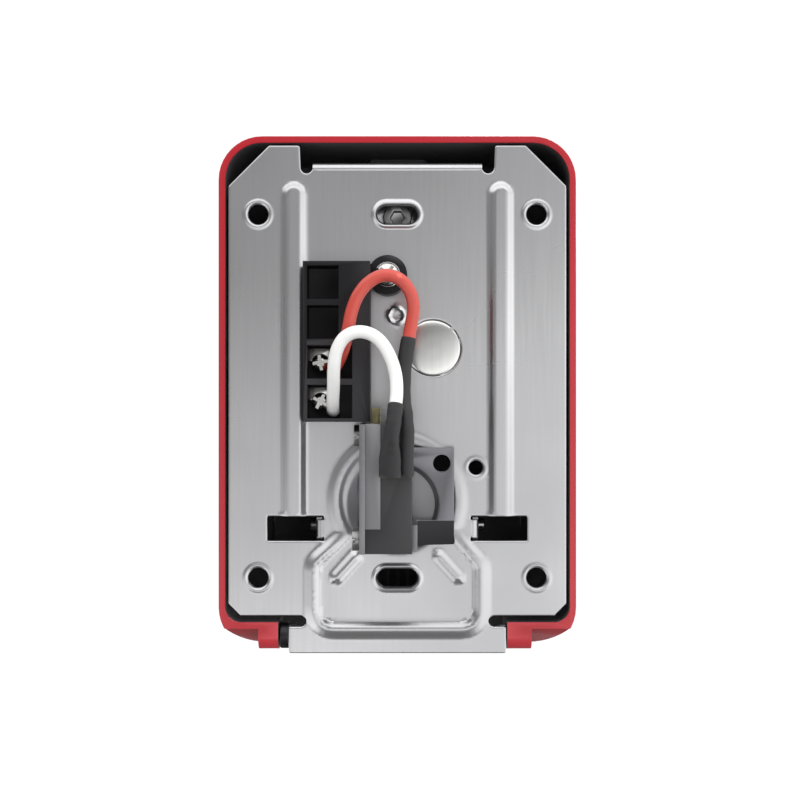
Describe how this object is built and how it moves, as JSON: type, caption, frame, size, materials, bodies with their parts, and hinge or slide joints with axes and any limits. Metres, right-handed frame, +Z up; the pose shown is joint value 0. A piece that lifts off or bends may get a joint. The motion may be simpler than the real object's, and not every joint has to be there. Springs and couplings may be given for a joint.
{
  "type": "fire alarm pull station",
  "caption": "Manual fire alarm pull station on a ribbed steel back plate, with a snap-action switch, a terminal block and a hinged, locking red cover with a T handle.",
  "frame": {"origin": "on the back plate's rear face, midway between the two gang box slots", "axes": "-Y towards the room, +Y into the wall box, +Z up"},
  "size_m": [0.082, 0.0573, 0.1185],
  "materials": {
    "zinc_plate": "satin",
    "bracket_steel": "satin",
    "nickel": "gloss",
    "black_moulding": "satin",
    "grey_moulding": "satin",
    "brass_blade": "satin",
    "spring_metal": "satin",
    "contact_silver": "satin",
    "plunger_red": "gloss",
    "red_insulation": "gloss",
    "white_insulation": "gloss",
    "shrink_tube": "matte",
    "red_enamel": "gloss",
    "white_enamel": "gloss",
    "dark_pin": "satin"
  },
  "bodies": {
    "base": {"back_plate": "zinc_plate", "knockout_disc": "zinc_plate", "plate_hinge_pins": "dark_pin", "terminal_block": "black_moulding", "terminal_screws": "nickel", "terminal_clamps": "nickel", "block_screw": "nickel", "switch_bracket": "bracket_steel", "bracket_rivets": "bracket_steel", "switch_case": "black_moulding", "switch_cover": "grey_moulding", "switch_screws": "spring_metal", "switch_terminals": "brass_blade", "switch_blade": "spring_metal", "switch_contacts": "contact_silver", "red_lead": "red_insulation", "white_lead": "white_insulation", "red_sleeve": "shrink_tube", "white_sleeve": "shrink_tube", "handle_pin": "spring_metal", "pin_clips": "spring_metal", "handle_spring": "spring_metal"},
    "cover": {"front_cover": "red_enamel", "lock_barrel": "nickel", "lock_nut": "nickel"},
    "lock": {"lock_plug": "nickel", "lock_cam": "zinc_plate", "cam_screw": "spring_metal"},
    "handle": {"pull_handle": "white_enamel"},
    "plunger": {"switch_plunger": "plunger_red"}
  },
  "joints": [
    {"name": "cover_hinge", "type": "hinge", "parent": "base", "child": "cover", "pos_m": [0, -0.0032, -0.0552], "axis": [1, 0, 0], "range_deg": [0, 95]},
    {"name": "lock_turn", "type": "hinge", "parent": "cover", "child": "lock", "pos_m": [0, -0.02, 0.04165], "axis": [0, -1, 0], "range_deg": [0, 90]},
    {"name": "handle_pull", "type": "hinge", "parent": "base", "child": "handle", "pos_m": [0, -0.01, -0.0304], "axis": [1, 0, 0], "range_deg": [0, 40]},
    {"name": "plunger_travel", "type": "slide", "parent": "base", "child": "plunger", "axis": [0, -1, 0], "range_m": [0, 0.001]}
  ],
  "couplings": [
    {"joint": "plunger_travel", "follows": "handle_pull", "m_per_rad": 0.0014252}
  ]
}
